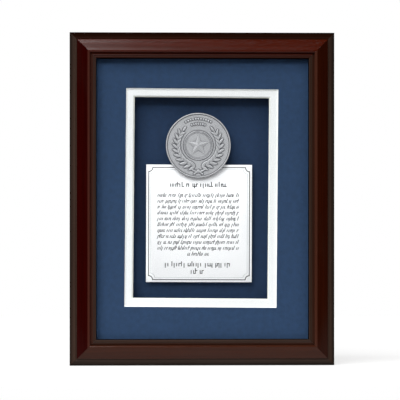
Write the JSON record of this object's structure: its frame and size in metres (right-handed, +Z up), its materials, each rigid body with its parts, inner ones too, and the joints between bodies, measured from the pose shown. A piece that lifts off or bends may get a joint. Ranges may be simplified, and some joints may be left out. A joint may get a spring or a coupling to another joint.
{
  "type": "coin display frame",
  "caption": "Wall-hung wooden shadow-box frame that shows a struck medallion over a printed card, behind glass and a double mat, with turn buttons and ring hangers on the back.",
  "frame": {"origin": "centre of the whole frame's box: middle of its width and height, half way between the moulding's crest and the wall bumpers' faces", "axes": "+X to the right as seen from the front, +Z up, -Y out of the glazed front"},
  "size_m": [0.253, 0.0384, 0.318],
  "materials": {
    "moulding": "gloss",
    "glass": "polished",
    "navy_board": "matte",
    "white_board": "matte",
    "card_stock": "matte",
    "foam": "matte",
    "medal_metal": "satin",
    "hardboard": "matte",
    "zinc_steel": "satin",
    "hanger_steel": "satin",
    "bumper_rubber": "matte"
  },
  "bodies": {
    "frame": {"top_rail": "moulding", "right_stile": "moulding", "bottom_rail": "moulding", "left_stile": "moulding", "corner_v_nails": "zinc_steel", "glazing": "glass", "outer_mat": "navy_board", "inner_mat": "white_board", "spacer_top": "foam", "spacer_bottom": "foam", "spacer_left": "foam", "spacer_right": "foam", "mount_board": "navy_board", "card_riser": "foam", "award_card": "card_stock", "medallion_riser": "foam", "medallion": "medal_metal", "foam_backer": "foam", "back_panel": "hardboard", "turn_button_screws": "zinc_steel", "hanger_strap_left": "hanger_steel", "hanger_strap_right": "hanger_steel", "hanger_screws": "zinc_steel", "wall_bumper_left": "bumper_rubber", "wall_bumper_right": "bumper_rubber"},
    "turn_button_top": {"turn_button_top": "zinc_steel"},
    "turn_button_bottom": {"turn_button_bottom": "zinc_steel"},
    "turn_button_upper_left": {"turn_button_upper_left": "zinc_steel"},
    "turn_button_lower_left": {"turn_button_lower_left": "zinc_steel"},
    "turn_button_upper_right": {"turn_button_upper_right": "zinc_steel"},
    "turn_button_lower_right": {"turn_button_lower_right": "zinc_steel"},
    "hanger_ring_left": {"hanger_ring_left": "hanger_steel"},
    "hanger_ring_right": {"hanger_ring_right": "hanger_steel"}
  },
  "joints": [
    {"name": "turn_button_top_swivel", "type": "hinge", "parent": "frame", "child": "turn_button_top", "pos_m": [0, 0.01485, 0.149], "axis": [0, 1, 0], "continuous": true},
    {"name": "turn_button_bottom_swivel", "type": "hinge", "parent": "frame", "child": "turn_button_bottom", "pos_m": [0, 0.01485, -0.149], "axis": [0, 1, 0], "continuous": true},
    {"name": "turn_button_upper_left_swivel", "type": "hinge", "parent": "frame", "child": "turn_button_upper_left", "pos_m": [-0.1165, 0.01485, 0.11], "axis": [0, 1, 0], "continuous": true},
    {"name": "turn_button_lower_left_swivel", "type": "hinge", "parent": "frame", "child": "turn_button_lower_left", "pos_m": [-0.1165, 0.01485, -0.11], "axis": [0, 1, 0], "continuous": true},
    {"name": "turn_button_upper_right_swivel", "type": "hinge", "parent": "frame", "child": "turn_button_upper_right", "pos_m": [0.1165, 0.01485, 0.11], "axis": [0, 1, 0], "continuous": true},
    {"name": "turn_button_lower_right_swivel", "type": "hinge", "parent": "frame", "child": "turn_button_lower_right", "pos_m": [0.1165, 0.01485, -0.11], "axis": [0, 1, 0], "continuous": true},
    {"name": "hanger_ring_left_hinge", "type": "hinge", "parent": "frame", "child": "hanger_ring_left", "pos_m": [-0.1171, 0.01633, 0.062], "axis": [-1, 0, 0], "range_deg": [0, 178]},
    {"name": "hanger_ring_right_hinge", "type": "hinge", "parent": "frame", "child": "hanger_ring_right", "pos_m": [0.1171, 0.01633, 0.062], "axis": [-1, 0, 0], "range_deg": [0, 178]}
  ]
}
